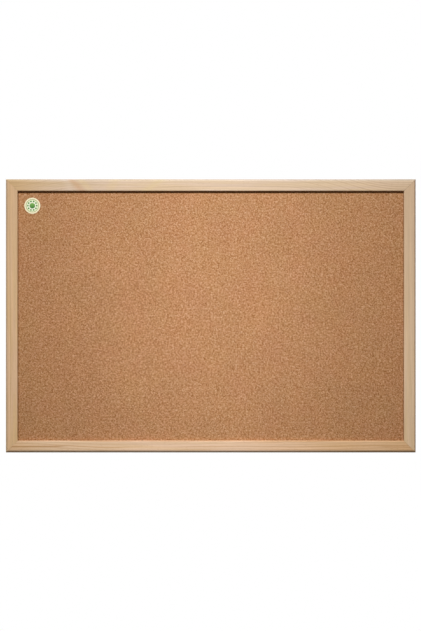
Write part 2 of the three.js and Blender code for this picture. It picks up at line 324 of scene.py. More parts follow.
# Cork colour: two sizes of granule and the dark specks, in cells a metre. The colour comes from
# the draws of both sizes and from the group that they lie in
CORK_CELLS = {
    "large": {"scale": 730.0, "shift": (0.0, 0.0, 0.0)},
    "small": {"scale": 1250.0, "shift": (3.1, 0.7, 1.9)},
    "speck": {"scale": 500.0, "shift": (7.7, 2.3, 4.1)},
}
CORK_BEND_SCALE = 260.0
CORK_BEND = 3.0 * MM
CORK_GROUP_SPAN = (0.25, 0.75)
CORK_SHARES = {"large": 0.42, "small": 0.3, "group": 0.28}
CORK_TONES = [
    (0.10, tone(139, 88, 46)),
    (0.35, tone(179, 128, 86)),
    (0.55, tone(195, 145, 105)),
    (0.75, tone(210, 163, 126)),
    (0.92, tone(231, 192, 159)),
]
CORK_SEAM_SPAN = (0.35, 0.75)
CORK_SEAM_STRENGTHS = (0.0, 0.22)
CORK_SEAM_TONE = tone(157, 105, 62)
SPECK_FEWNESS = (0.85, 0.89)
SPECK_EDGE = (0.28, 0.5)
SPECK_STRENGTH = 0.7
SPECK_TONE = tone(124, 73, 34)
CORK_WASH_SCALE = 9.0
CORK_WASH_LEVELS = (0.975, 1.02)
# Painted shade in the corner along the frame's sides and foot: its width and strengths
CORK_CORNER_SHADE_WIDTH = 4.0 * MM
CORK_CORNER_SHADE_STRENGTHS = (0.2, 0.0)
CORK_RELIEF_SHARE = -0.5

# Slow drifts of the cork's hue, from orange to olive and from pinkish to yellowish brown
CORK_DRIFT_SCALE = 16.0
CORK_DRIFT_DETAIL = 3.0
CORK_DRIFT_ROUGHNESS = 0.65
CORK_DRIFTS = [
    {"shift": (5.3, 1.1, 2.7), "low": (1.013, 0.987, 1.0, 1.0), "high": (0.987, 1.013, 1.0, 1.0)},
    {"shift": (8.9, 3.4, 6.1), "low": (1.0, 1.0, 1.022, 1.0), "high": (1.0, 1.0, 0.968, 1.0)},
]

# Label form: a disc in rings and spokes. Its rim curls by a share of its thickness in two waves
LABEL_RINGS = 14
LABEL_SPOKES = 96
LABEL_CURL_SHARE = 0.35
LABEL_CURL_POWER = 4
LABEL_CURL_WAVES = 2
LABEL_CURL_TURN = 0.6
LABEL_SHARP_ANGLE = math.radians(40)

# Label print, with all lengths as shares of its radius: a pale middle, a thin ring, a cream rim,
# and a green dot inside a ring of small dots
LABEL_MIDDLE_SHARES = (0.3, 0.7)
LABEL_MIDDLE_TONES = (tone(255, 255, 242), tone(236, 249, 208))
LABEL_RIM_SHARES = (0.76, 0.78)
LABEL_RIM_TONE = tone(254, 248, 214)
LABEL_LINE_START_SHARES = (0.74, 0.77)
LABEL_LINE_END_SHARES = (0.81, 0.84)
LABEL_LINE_STRENGTH = 0.85
LABEL_LINE_TONE = tone(150, 146, 92)
LABEL_DOT_SHARES = (0.33, 0.37)
LABEL_DOT_SHADE_SHARES = (-0.35, 0.35)
LABEL_DOT_TONES = (tone(50, 116, 42), tone(128, 182, 92))
LABEL_SMALL_DOTS = 10
LABEL_SMALL_DOT_SHARES = (0.085, 0.115)
LABEL_SMALL_DOT_PLACE_SHARE = 0.56
LABEL_SMALL_DOT_TONE = tone(66, 130, 54)
LABEL_FIBRE_SCALE = 1800.0
LABEL_FIBRE_ROUGHNESS = 0.6

# Hardboard: the press screen's weave, clumped and fine fibres, clouds and pale hairs both ways
WEAVE_PITCH = 1.6 * MM
WEAVE_LEVELS = (0.88, 1.08)
WEAVE_RELIEF_SHARE = 0.5
HARDBOARD_CLUMP = {"stretch": (1.0, 1.0, 0.55), "scale": 420.0, "detail": 4.0, "roughness": 0.65}
HARDBOARD_FINE = {"stretch": (1.0, 1.0, 0.4), "scale": 1900.0, "detail": 3.0, "roughness": 0.7}
HARDBOARD_CLUMP_SHARE = 0.45
HARDBOARD_FINE_SHARE = 0.55
HARDBOARD_CLOUD = {"stretch": (1.0, 1.0, 1.0), "scale": 7.0, "detail": 3.0, "roughness": 0.55}
HARDBOARD_CLOUD_LEVELS = (0.92, 1.07)
HARDBOARD_TONES = [
    (0.3, tone(92, 62, 39)),
    (0.5, tone(133, 96, 64)),
    (0.7, tone(170, 132, 95)),
]
HARDBOARD_HAIR_REPEATS = (2600.0, 170.0, 1.0)
HARDBOARD_HAIR_BEND = 4.0 * MM
HARDBOARD_HAIR_SPANS = ((0.68, 0.78), (0.7, 0.8))
HARDBOARD_HAIR_STRENGTH = 0.5
HARDBOARD_HAIR_TONE = tone(190, 154, 116)

# Fibreboard: one noise, finer through the sheet
FIBREBOARD = {"stretch": (1.0, 3.0, 1.0), "scale": 500.0, "detail": 5.0, "roughness": 0.7}
FIBREBOARD_TONES = [
    (0.25, tone(140, 112, 78)),
    (0.5, tone(172, 142, 104)),
    (0.75, tone(196, 168, 130)),
]

# Steel: clouds in the plating, rolling lines and dull spots, and each kind's bright and dark tone
PLATING = {"stretch": (1.0, 1.0, 1.0), "scale": 180.0, "detail": 3.0, "roughness": 0.6}
ROLLING = {"stretch": (60.0, 60.0, 1600.0), "scale": 1.0, "detail": 2.0, "roughness": 0.5}
SPOTS = {"stretch": (1.0, 1.0, 1.0), "scale": 1300.0, "detail": 2.0, "roughness": 0.6}
ROLLING_SPAN = (0.35, 0.7)
ROLLING_STRENGTHS = (0.0, 0.35)
SPOT_SPAN = (0.6, 0.72)
SPOT_STRENGTH = 0.35
SPOT_RELIEF_SHARE = -0.5
STEEL_ROUGH_SHARES = {"plating": 0.6, "rolling": 0.4, "spots": 0.2}
STEEL_ROUGH_SPAN = (0.3, 0.75)
STEEL_TONES = {
    "zinc_plate": (tone(190, 192, 194), tone(150, 153, 157)),
    "blued_steel": (tone(104, 106, 110), tone(74, 76, 80)),
}

# Rubber: a fine grain and settled dust
RUBBER_GRAIN = {"stretch": (1.0, 1.0, 1.0), "scale": 2200.0, "detail": 3.0, "roughness": 0.6}
RUBBER_DUST = {"stretch": (1.0, 1.0, 1.0), "scale": 300.0, "detail": 3.0, "roughness": 0.6}
RUBBER_DUST_SPAN = (0.45, 0.75)
RUBBER_DUST_STRENGTHS = (0.0, 0.5)
RUBBER_TONE = tone(30, 30, 31)
RUBBER_DUST_TONE = tone(62, 61, 59)

# The board, its opening and its place in the picture, worked out from the frame
top_low, top_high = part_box("top_rail")
bottom_low, bottom_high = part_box("bottom_rail")
left_low, left_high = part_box("left_stile")
right_low, right_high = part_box("right_stile")
BOARD_WIDTH = right_high.x - left_low.x
BOARD_TOP = top_high.z
BOARD_BOTTOM = bottom_low.z
BOARD_FRONT = top_low.y
BOARD_MIDDLE = Vector((0, BOARD_FRONT, (BOARD_TOP + BOARD_BOTTOM) / 2))
RAIL_HALF = (top_high.z - top_low.z) / 2
METRES_PER_PX = BOARD_WIDTH / (BOARD_RIGHT_PX - BOARD_LEFT_PX)

# Sockets of a mix node's colours by number, because its other types share their names
MIX_SHARE, MIX_FIRST, MIX_SECOND, MIX_RESULT = 0, 6, 7, 2


class Graph:
    """The nodes of a material or a world, with short calls that return output sockets."""

    def __init__(self, owner):
        owner.use_nodes = True
        self.tree = owner.node_tree

    def feed(self, socket, value):
        """Links a socket to another, or sets its value."""
        if isinstance(value, bpy.types.NodeSocket):
            self.tree.links.new(value, socket)
        else:
            socket.default_value = value

    def node(self, kind, inputs=None, **settings):
        made = self.tree.nodes.new(kind)
        for key, value in settings.items():
            setattr(made, key, value)
        for key, value in (inputs or {}).items():
            self.feed(made.inputs[key], value)
        return made

    def math(self, operation, first, second=0.0):
        return self.node("ShaderNodeMath", {0: first, 1: second}, operation=operation).outputs[0]

    def add(self, first, second):
        return self.math("ADD", first, second)

    def take(self, first, second):
        return self.math("SUBTRACT", first, second)

    def times(self, first, second):
        return self.math("MULTIPLY", first, second)

    def distance(self, first, second):
        """How far a point lies from zero, given its two coordinates."""
        return self.math("SQRT", self.add(self.times(first, first), self.times(second, second)))

    def swing(self, noise, amount):
        """A noise turned into an amount to either side of zero."""
        return self.times(self.take(noise, 0.5), amount)

    def smooth(self, value, span, results=(0.0, 1.0)):
        """A smooth step from the first result to the second, while the value crosses the span."""
        inputs = {
            "Value": value,
            "From Min": span[0],
            "From Max": span[1],
            "To Min": results[0],
            "To Max": results[1],
        }
        made = self.node("ShaderNodeMapRange", inputs, interpolation_type="SMOOTHSTEP")
        return made.outputs[0]

    def band(self, away, width, strength):
        """The full strength where away is zero, fading to nothing a width from there."""
        reach = self.math("ABSOLUTE", self.times(away, 1 / width))
        return self.smooth(reach, (0.0, 1.0), (strength, 0.0))

    def mix(self, share, first, second, blend="MIX"):
        made = self.node("ShaderNodeMix", data_type="RGBA", blend_type=blend)
        self.feed(made.inputs[MIX_SHARE], share)
        self.feed(made.inputs[MIX_FIRST], first)
        self.feed(made.inputs[MIX_SECOND], second)
        return made.outputs[MIX_RESULT]

    def dim(self, colour, level):
        """The colour times a level."""
        return self.mix(1.0, colour, self.join(level, level, level), "MULTIPLY")

    def split(self, vector):
        return self.node("ShaderNodeSeparateXYZ", {0: vector}).outputs

    def join(self, x, y, z):
        return self.node("ShaderNodeCombineXYZ", {0: x, 1: y, 2: z}).outputs[0]

    def stretch(self, vector, scale, shift=(0.0, 0.0, 0.0)):
        inputs = {"Vector": vector, "Location": shift, "Scale": scale}
        return self.node("ShaderNodeMapping", inputs).outputs[0]

    def shifted(self, vector, shift):
        return self.stretch(vector, (1.0, 1.0, 1.0), shift)

    def noise(self, vector, scale, detail=2.0, roughness=0.5):
        inputs = {"Vector": vector, "Scale": scale, "Detail": detail, "Roughness": roughness}
        return self.node("ShaderNodeTexNoise", inputs).outputs[0]

    def named_noise(self, vector, kind):
        """A noise from one of the named sets of values."""
        spread = self.stretch(vector, kind["stretch"])
        return self.noise(spread, kind["scale"], kind["detail"], kind["roughness"])

    def cells(self, vector, scale):
        return self.node("ShaderNodeTexVoronoi", {"Vector": vector, "Scale": scale}).outputs

    def ramp(self, share, stops):
        """A colour from a list of stops, each a position and a colour."""
        made = self.node("ShaderNodeValToRGB", {0: share})
        elements = made.color_ramp.elements
        while len(elements) < len(stops):
            elements.new(0.5)
        for element, (position, colour) in zip(elements, stops):
            element.position = position
            element.color = colour
        return made.outputs["Color"]

    def backdrop_seen(self):
        """One for the rays that show the backdrop: the camera's, and those of gloss and glass."""
        path = self.node("ShaderNodeLightPath").outputs
        seen = self.math("MAXIMUM", path["Is Camera Ray"], path["Is Glossy Ray"])
        return self.math("MAXIMUM", seen, path["Is Transmission Ray"])


class Paint(Graph):
    """The nodes of one material."""

    def __init__(self, name):
        self.material = bpy.data.materials.new(name)
        super().__init__(self.material)
        self.shader = self.tree.nodes["Principled BSDF"]

    def place(self):
        return self.node("ShaderNodeTexCoord").outputs["Object"]

    def set(self, name, value):
        self.feed(self.shader.inputs[name], value)

    def finish(self, surface, colour, rough, relief):
        """Sets what every dressed surface has and returns the material."""
        inputs = {"Height": relief, "Strength": surface["bump"], "Distance": surface["depth"]}
        self.set("Base Color", colour)
        self.set("Roughness", rough)
        self.set("Specular IOR Level", surface["gloss"])
        self.set("Normal", self.node("ShaderNodeBump", inputs).outputs[0])
        return self.material


class Pine(Paint):
    """One rail's wood: its place along, across and behind the face, and the noises laid on it."""

    def __init__(self, rail, look):
        super().__init__(f"pine_{rail}")
        low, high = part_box(rail)
        middle = (low + high) / 2
        x, y, z = self.split(self.place())
        if look["along"] == "X":
            self.length = x
            self.across = self.take(z, middle.z)
        else:
            self.length = z
            self.across = self.take(x, middle.x)
        self.depth = y
        self.grain = self.join(self.length, self.across, self.depth)
        self.shift = tuple(look["seed"] * step for step in SEED_STEPS)
        self.noises = {}
        for name, kind in PINE_NOISES.items():
            repeats = (kind["along"], kind["across"], kind["across"])
            spread = self.stretch(self.grain, repeats, self.shift)
            self.noises[name] = self.noise(spread, 1.0, kind["detail"], kind["roughness"])


def ring_wander(wood, look):
    """How far the growth rings stray from true circles."""
    wander = wood.swing(wood.noises["slow"], look["pith"]["warp"])
    wander = wood.add(wander, wood.swing(wood.noises["quick"], look["pith"]["ripple"]))
    wander = wood.add(wander, wood.swing(wood.noises["streak"], RING_FEATHER))
    for start, end, amount in look["drifts"]:
        wander = wood.add(wander, wood.smooth(wood.length, (start, end), (0.0, amount)))
    return wander


def late_wood(wood, look):
    """The dark end of each growth ring, about a pith that lies beside or behind the rail."""
    side = wood.add(wood.across, -look["pith"]["aside"])
    deep = wood.add(wood.depth, -look["pith"]["deep"])
    reach = wood.add(wood.distance(side, deep), ring_wander(wood, look))
    turns = wood.times(reach, 1 / look["ring"])
    phase = wood.math("FRACT", turns)
    sets_in = wood.smooth(phase, LATE_START_SHARES)
    late = wood.times(sets_in, wood.smooth(phase, LATE_END_SHARES, FALLING))
    year = wood.noise(wood.join(wood.math("FLOOR", turns), look["seed"], 0.0), YEAR_SCALE, 0.0)
    late = wood.times(late, wood.smooth(year, MOST, YEAR_LEVELS))
    return wood.times(late, wood.smooth(wood.noises["fade"], MOST, FADE_LEVELS))


def early_wood(wood, look):
    """The pale ground of the wood, with slow tides of another tone along the rail."""
    colour = wood.mix(wood.smooth(wood.noises["patch"], PATCH_SPAN), look["early"], look["warm"])
    for start, end, strength, shade in look["tides"]:
        colour = wood.mix(wood.smooth(wood.length, (start, end), (0.0, strength)), colour, shade)
    return colour


def add_veins(wood, look, colour):
    """Single dark lines that run along a part of the rail."""
    for start, end, place, width, strength in look["veins"]:
        begins = wood.smooth(wood.length, (start, start + VEIN_FADE))
        ends = wood.smooth(wood.length, (end - VEIN_FADE, end), FALLING)
        off = wood.add(wood.add(wood.across, -place), wood.swing(wood.noises["slow"], VEIN_SWAY))
        line = wood.band(off, width, strength)
        colour = wood.mix(wood.times(wood.times(begins, ends), line), colour, look["late"])
    return colour


def add_stains(wood, look, colour):
    """Slanting stains across the rail, as near a knot."""
    for place, lean, width, strength, shade in look["stains"]:
        away = wood.add(wood.add(wood.length, -place), wood.times(wood.across, lean))
        away = wood.add(away, wood.swing(wood.noises["quick"], width))
        colour = wood.mix(wood.band(away, width, strength), colour, shade)
    return colour


def resin_canals(wood):
    """A few short dark dashes along the grain."""
    canals = wood.cells(wood.stretch(wood.grain, CANAL_REPEATS, wood.shift), 1.0)
    dash = wood.smooth(canals["Distance"], CANAL_EDGE, FALLING)
    return wood.times(dash, wood.smooth(wood.split(canals["Color"])[0], CANAL_FEWNESS))


def add_painted_edge_shading(wood, look, colour):
    """Paints shade and highlight onto the rounding of the rail's outer edge, zone by zone."""
    out = wood.times(wood.across, look["outer_side"])
    reach = (BOARD_FRONT + ARRIS_FULL_DEPTH, BOARD_FRONT + ARRIS_END_DEPTH)
    ahead = wood.smooth(wood.depth, reach, FALLING)
    for start, full, sets_in, tint in look["painted_edge_shading"]:
        painted_share = wood.times(ahead, wood.smooth(out, (RAIL_HALF - start, RAIL_HALF - full)))
        painted_share = wood.times(painted_share, wood.smooth(wood.length, sets_in))
        colour = wood.mix(painted_share, colour, tint, "MULTIPLY")
    return colour


def pine_material(rail, look):
    """Growth rings, veins, stains, resin canals, fine grain and painted light and shade at the
    edge.
    """
    wood = Pine(rail, look)
    late = late_wood(wood, look)
    colour = wood.mix(wood.times(late, look["contrast"]), early_wood(wood, look), look["late"])
    colour = add_veins(wood, look, colour)
    colour = add_stains(wood, look, colour)
    dash = resin_canals(wood)
    colour = wood.mix(wood.times(dash, CANAL_DARKNESS), colour, look["late"])
    for kind, (span, levels) in FINE_GRAIN.items():
        colour = wood.dim(colour, wood.smooth(wood.noises[kind], span, levels))
    # Painted shade, and on the top rail a paler painted highlight, on the outer edge's rounding
    colour = add_painted_edge_shading(wood, look, colour)
    fine = wood.add(wood.noises["fibre"], wood.noises["hair"])
    relief = wood.times(fine, PINE_RELIEF_SHARES["fine"])
    relief = wood.add(relief, wood.times(late, PINE_RELIEF_SHARES["late"]))
    relief = wood.add(relief, wood.times(dash, PINE_RELIEF_SHARES["canals"]))
    surface = SURFACES["pine"]
    rough = wood.smooth(wood.noises["fibre"], NEARLY_ALL, surface["rough"])
    return wood.finish(surface, colour, rough, relief)


def cork_corner_shade(paint, x, z):
    """Painted shade in the corner between the sheet and the frame, along its sides and its foot."""
    beside = paint.math("MINIMUM", paint.add(x, -left_high.x), paint.take(right_low.x, x))
    nearest = paint.math("MINIMUM", beside, paint.add(z, -bottom_high.z))
    return paint.smooth(nearest, (0.0, CORK_CORNER_SHADE_WIDTH), CORK_CORNER_SHADE_STRENGTHS)


def cork_granules(paint, cells, group):
    """Irregular granules of several browns, with darker seams and a few dark specks."""
    lot = paint.add(
        paint.times(paint.split(cells["large"]["Color"])[0], CORK_SHARES["large"]),
        paint.times(paint.split(cells["small"]["Color"])[1], CORK_SHARES["small"]),
    )
    colour = paint.ramp(paint.add(lot, paint.times(group, CORK_SHARES["group"])), CORK_TONES)
    seam = paint.smooth(cells["large"]["Distance"], CORK_SEAM_SPAN, CORK_SEAM_STRENGTHS)
    colour = paint.mix(seam, colour, CORK_SEAM_TONE)
    few = paint.smooth(paint.split(cells["speck"]["Color"])[2], SPECK_FEWNESS)
    inside = paint.smooth(cells["speck"]["Distance"], SPECK_EDGE, FALLING)
    return paint.mix(paint.times(paint.times(few, inside), SPECK_STRENGTH), colour, SPECK_TONE)


def cork_material():
    """Granules whose level and hue drift slowly over the sheet, with painted shade along the frame.
    """
    paint = Paint("cork")
    place = paint.place()
    x, y, z = paint.split(place)
    sway = paint.swing(paint.noise(place, CORK_BEND_SCALE), CORK_BEND)
    bent = paint.join(paint.add(x, sway), y, paint.take(z, sway))
    cells = {}
    for size, kind in CORK_CELLS.items():
        cells[size] = paint.cells(paint.shifted(bent, kind["shift"]), kind["scale"])
    group = paint.smooth(paint.noise(bent, CORK_BEND_SCALE, 0.0), CORK_GROUP_SPAN)
    colour = cork_granules(paint, cells, group)
    wash = paint.noise(place, CORK_WASH_SCALE)
    colour = paint.dim(colour, paint.smooth(wash, MOST, CORK_WASH_LEVELS))
    for drift in CORK_DRIFTS:
        spread = paint.shifted(place, drift["shift"])
        patch = paint.noise(spread, CORK_DRIFT_SCALE, CORK_DRIFT_DETAIL, CORK_DRIFT_ROUGHNESS)
        tint = paint.mix(paint.smooth(patch, MOST), drift["low"], drift["high"])
        colour = paint.mix(1.0, colour, tint, "MULTIPLY")
    # Painted shade in the corner where the sheet meets the frame's sides and foot
    colour = paint.mix(cork_corner_shade(paint, x, z), colour, grey(0.0))
    domes = paint.add(cells["small"]["Distance"], cells["large"]["Distance"])
    relief = paint.times(domes, CORK_RELIEF_SHARE)
    surface = SURFACES["cork"]
    return paint.finish(surface, colour, surface["rough"], relief)


def label_dots(paint, up, across, reach):
    """Where the ring of small dots lies."""
    slice_angle = 2 * math.pi / LABEL_SMALL_DOTS
    slices = paint.times(paint.math("ARCTAN2", up, across), 1 / slice_angle)
    wedge = paint.take(paint.math("FRACT", paint.add(slices, 0.5)), 0.5)
    aside = paint.times(paint.times(wedge, slice_angle), reach)
    gap = paint.distance(aside, paint.take(reach, LABEL_SMALL_DOT_PLACE_SHARE))
    return paint.smooth(gap, LABEL_SMALL_DOT_SHARES, FALLING)


def label_material(centre, radius):
    """Cream rim, thin olive ring and a pale middle with a green dot inside a ring of small dots."""
    paint = Paint("printed_label")
    place = paint.place()
    x, _, z = paint.split(place)
    across = paint.times(paint.take(x, centre.x), 1 / radius)
    up = paint.times(paint.take(z, centre.z), 1 / radius)
    reach = paint.distance(across, up)
    colour = paint.mix(paint.smooth(reach, LABEL_MIDDLE_SHARES), *LABEL_MIDDLE_TONES)
    colour = paint.mix(paint.smooth(reach, LABEL_RIM_SHARES), colour, LABEL_RIM_TONE)
    line = paint.times(
        paint.smooth(reach, LABEL_LINE_START_SHARES),
        paint.smooth(reach, LABEL_LINE_END_SHARES, FALLING),
    )
    colour = paint.mix(paint.times(line, LABEL_LINE_STRENGTH), colour, LABEL_LINE_TONE)
    shade = paint.mix(paint.smooth(up, LABEL_DOT_SHADE_SHARES), *LABEL_DOT_TONES)
    colour = paint.mix(paint.smooth(reach, LABEL_DOT_SHARES, FALLING), colour, shade)
    colour = paint.mix(label_dots(paint, up, across, reach), colour, LABEL_SMALL_DOT_TONE)
    fibre = paint.noise(place, LABEL_FIBRE_SCALE, roughness=LABEL_FIBRE_ROUGHNESS)
    surface = SURFACES["label"]
    rough = paint.smooth(fibre, NEARLY_ALL, surface["rough"])
    return paint.finish(surface, colour, rough, fibre)


def hardboard_hairs(paint, x, z, bend):
    """Thin bent hairs that lie both ways over the sheet."""
    ways = []
    for (first, second), span in zip(((x, z), (z, x)), HARDBOARD_HAIR_SPANS):
        bent = paint.join(paint.add(first, bend), second, 0.0)
        line = paint.stretch(bent, HARDBOARD_HAIR_REPEATS)
        ways.append(paint.smooth(paint.noise(line, 1.0, 1.0), span))
    return paint.math("MAXIMUM", *ways)


def hardboard_material():
    """Pressed brown fibre with pale hairs and the woven mark of the press screen."""
    paint = Paint("hardboard")
    place = paint.place()
    x, _, z = paint.split(place)
    turn = 2 * math.pi / WEAVE_PITCH
    columns = paint.math("SINE", paint.times(x, turn))
    rows = paint.math("SINE", paint.times(z, turn))
    weave = paint.times(columns, rows)
    clump = paint.named_noise(place, HARDBOARD_CLUMP)
    fine = paint.named_noise(place, HARDBOARD_FINE)
    fibre = paint.times(clump, HARDBOARD_CLUMP_SHARE)
    fibre = paint.add(fibre, paint.times(fine, HARDBOARD_FINE_SHARE))
    colour = paint.ramp(fibre, HARDBOARD_TONES)
    colour = paint.dim(colour, paint.smooth(weave, (-1.0, 1.0), WEAVE_LEVELS))
    cloud = paint.named_noise(place, HARDBOARD_CLOUD)
    colour = paint.dim(colour, paint.smooth(cloud, MOST, HARDBOARD_CLOUD_LEVELS))
    hairs = hardboard_hairs(paint, x, z, paint.swing(clump, HARDBOARD_HAIR_BEND))
    colour = paint.mix(paint.times(hairs, HARDBOARD_HAIR_STRENGTH), colour, HARDBOARD_HAIR_TONE)
    relief = paint.add(paint.times(weave, WEAVE_RELIEF_SHARE), fibre)
    surface = SURFACES["hardboard"]
    rough = paint.smooth(fibre, MOST, surface["rough"])
    return paint.finish(surface, colour, rough, relief)


def fibreboard_material():
    """Soft matted fibre, finer through the sheet."""
    paint = Paint("fibreboard")
    fibre = paint.named_noise(paint.place(), FIBREBOARD)
    colour = paint.ramp(fibre, FIBREBOARD_TONES)
    surface = SURFACES["fibreboard"]
    return paint.finish(surface, colour, surface["rough"], fibre)


def steel_material(kind):
    """Plated steel: cloudy plating, fine rolling lines, small dull spots and uneven roughness."""
    paint = Paint(kind)
    place = paint.place()
    bright, dark = STEEL_TONES[kind]
    plating = paint.named_noise(place, PLATING)
    rolling = paint.named_noise(place, ROLLING)
    spots = paint.smooth(paint.named_noise(place, SPOTS), SPOT_SPAN)
    colour = paint.mix(paint.smooth(plating, MOST), dark, bright)
    colour = paint.mix(paint.smooth(rolling, ROLLING_SPAN, ROLLING_STRENGTHS), colour, dark)
    colour = paint.mix(paint.times(spots, SPOT_STRENGTH), colour, dark)
    uneven = paint.times(plating, STEEL_ROUGH_SHARES["plating"])
    uneven = paint.add(uneven, paint.times(rolling, STEEL_ROUGH_SHARES["rolling"]))
    uneven = paint.add(uneven, paint.times(spots, STEEL_ROUGH_SHARES["spots"]))
    relief = paint.add(rolling, paint.times(spots, SPOT_RELIEF_SHARE))
    surface = SURFACES[kind]
    rough = paint.smooth(uneven, STEEL_ROUGH_SPAN, surface["rough"])
    paint.set("Metallic", 1.0)
    return paint.finish(surface, colour, rough, relief)


def rubber_material():
    """Near-black rubber with a fine grain and settled dust."""
    paint = Paint("rubber")
    place = paint.place()
    grain = paint.named_noise(place, RUBBER_GRAIN)
    dust = paint.named_noise(place, RUBBER_DUST)
    settled = paint.smooth(dust, RUBBER_DUST_SPAN, RUBBER_DUST_STRENGTHS)
    colour = paint.mix(settled, RUBBER_TONE, RUBBER_DUST_TONE)
    surface = SURFACES["rubber"]
    rough = paint.smooth(grain, NEARLY_ALL, surface["rough"])
    return paint.finish(surface, colour, rough, grain)


def add_object(name, data):
    """A new object with that data, in the scene."""
    made = bpy.data.objects.new(name, data)
    bpy.context.scene.collection.objects.link(made)
    return made


def make_camera():
    """A camera square to the board, which puts it where it lies in the photograph."""
    data = bpy.data.cameras.new("camera")
    camera = add_object("camera", data)
    bpy.context.scene.camera = camera
    seen_height = PHOTO_HEIGHT_PX * METRES_PER_PX
    data.sensor_width = SENSOR_WIDTH_MM
    data.lens = data.sensor_width * (CAMERA_DISTANCE + OUTLINE_DEPTH) / seen_height
    aside = (PHOTO_WIDTH_PX - BOARD_LEFT_PX - BOARD_RIGHT_PX) / 2 * METRES_PER_PX
    above = (BOARD_TOP_PX + BOARD_BOTTOM_PX - PHOTO_HEIGHT_PX) / 2 * METRES_PER_PX
    camera.location = BOARD_MIDDLE + Vector((aside, -CAMERA_DISTANCE, above))
    camera.rotation_euler = (math.pi / 2, 0, 0)
    data.clip_start = CLIP_START
    data.clip_end = CLIP_END


def make_world():
    """Soft warm light from all round, before a backdrop that shows as plain white."""
    world = bpy.data.worlds.new("studio")
    bpy.context.scene.world = world
    studio = Graph(world)
    studio.tree.nodes.clear()
    seen = studio.backdrop_seen()
    colour = studio.mix(seen, AMBIENT_COLOUR, grey(1.0))
    strength = studio.smooth(seen, (0.0, 1.0), (AMBIENT, 1.0))
    background = studio.node("ShaderNodeBackground", {"Color": colour, "Strength": strength})
    studio.node("ShaderNodeOutputWorld", {"Surface": background.outputs[0]})


def add_lamp(name, lamp, away, target, share):
    """Lights the board's front or back at the target with a share of the plain level.

    The power is that at which a white face shows the share. A spot's power counts as if it
    shone all round, so it takes four times as much.
    """
    data = bpy.data.lights.new(name, lamp["kind"])
    data.color = lamp["colour"]
    power = share * (math.pi * lamp["distance"]) ** 2 / abs(away.y)
    if lamp["kind"] == "AREA":
        data.shape = "DISK"
        data.size = lamp["size"]
        data.energy = power
    else:
        data.shadow_soft_size = lamp["size"] / 2
        data.energy = 4 * power
    made = add_object(name, data)
    made.location = target + away * lamp["distance"]
    made.rotation_euler = (-away).to_track_quat("-Z", "Y").to_euler()
    return data


def make_lights():
    """Two keys from above on either side, soft glows on the middle and two lamps behind."""
    for key in KEYS:
        away = Vector((key["aside"], -1, KEY_RISE)).normalized()
        add_lamp(key["name"], KEY_LAMP, away, BOARD_MIDDLE, key["share"])
    away = Vector((0, -1, KEY_RISE)).normalized()
    for number, glow in enumerate(GLOWS):
        target = BOARD_MIDDLE + Vector((glow["aside"], 0, glow["rise"]))
        spot = add_lamp(f"glow_{number}", GLOW_LAMP, away, target, glow["share"])
        spot.spot_size = 2 * math.atan(glow["radius"] / LAMP_DISTANCE)
        spot.spot_blend = 1.0
    for side in (-1, 1):
        away = Vector((side * math.sin(REAR_TURN), math.cos(REAR_TURN), REAR_RISE)).normalized()
        add_lamp(f"rear_{side}", REAR_LAMP, away, BOARD_MIDDLE, REAR_SHARE)


def floor_material():
    """Pale where the backdrop is seen and darker as a light, fading out towards the rim."""
    paint = Paint("floor")
    x, y, _ = paint.split(paint.place())
    fade = [share * FLOOR_RADIUS for share in FLOOR_FADE_SHARES]
    paint.set("Alpha", paint.smooth(paint.distance(x, y), fade, FALLING))
    seen = paint.backdrop_seen()
    paint.set("Base Color", paint.mix(seen, grey(FLOOR_BOUNCE), grey(FLOOR_SHOWN)))
    paint.set("Roughness", FLOOR_ROUGHNESS)
    paint.set("Specular IOR Level", FLOOR_GLOSS)
    return paint.material


def make_floor():
    """A pale round floor below the board, without a rim that shows."""
    bpy.ops.mesh.primitive_circle_add(
        vertices=FLOOR_SIDES,
        radius=FLOOR_RADIUS,
        fill_type="NGON",
        location=(0, 0, BOARD_BOTTOM - FLOOR_DROP),
    )
    floor = bpy.context.object
    floor.name = "floor"
    floor.data.materials.append(floor_material())


def plain_faces(mesh, rounded):
    """Joins a CAD mesh's triangles into the flat faces or the bands that they make up."""
    form = bmesh.new()
    form.from_mesh(mesh)
    bmesh.ops.remove_doubles(form, verts=form.verts, dist=MERGE_DISTANCE)
    if rounded:
        bmesh.ops.join_triangles(
            form,
            faces=form.faces,
            angle_face_threshold=JOIN_ANGLE,
            angle_shape_threshold=JOIN_ANGLE,
        )
    else:
        bmesh.ops.dissolve_limit(
            form, angle_limit=FLAT_ANGLE, verts=form.verts, edges=form.edges
        )
    form.to_mesh(mesh)
    form.free()


def ease_edges(piece, bevel):
    """A small rounding on every sharp edge."""
    ease = piece.modifiers.new("eased_edges", "BEVEL")
    ease.width = bevel
    ease.segments = BEVEL_SEGMENTS
    ease.limit_method = "ANGLE"
    ease.angle_limit = BEVEL_FROM_ANGLE
    ease.use_clamp_overlap = True


def weight_normals(piece):
    """Lets the large faces set the shading, so that they stay flat."""
    weigh = piece.modifiers.new("weighted_normals", "WEIGHTED_NORMAL")
    weigh.mode = "FACE_AREA"
    weigh.weight = NORMAL_WEIGHT
    weigh.keep_sharp = True


def carry_over(name, material, bevel=None, rounded=False):
    """Finishes a CAD node whose shape is right, by way of a copy whose edges are eased if a bevel
    is given.
    """
    mesh = nodes[name].data.copy()
    plain_faces(mesh, rounded)
    mesh.materials.clear()
    mesh.materials.append(material)
    for polygon in mesh.polygons:
        polygon.use_smooth = True
    piece = add_object(f"{name}_dressed", mesh)
    if rounded:
        piece.modifiers.new("rounder_wire", "SUBSURF").levels = 1
    if bevel is not None:
        ease_edges(piece, bevel)
    weight_normals(piece)
    body = nodes[name]["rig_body"]
    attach(piece, body)
    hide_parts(name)
    return piece


def make_rails():
    for name, look in RAILS.items():
        piece = carry_over(name, pine_material(name, look), bevel=RAIL_BEVEL)


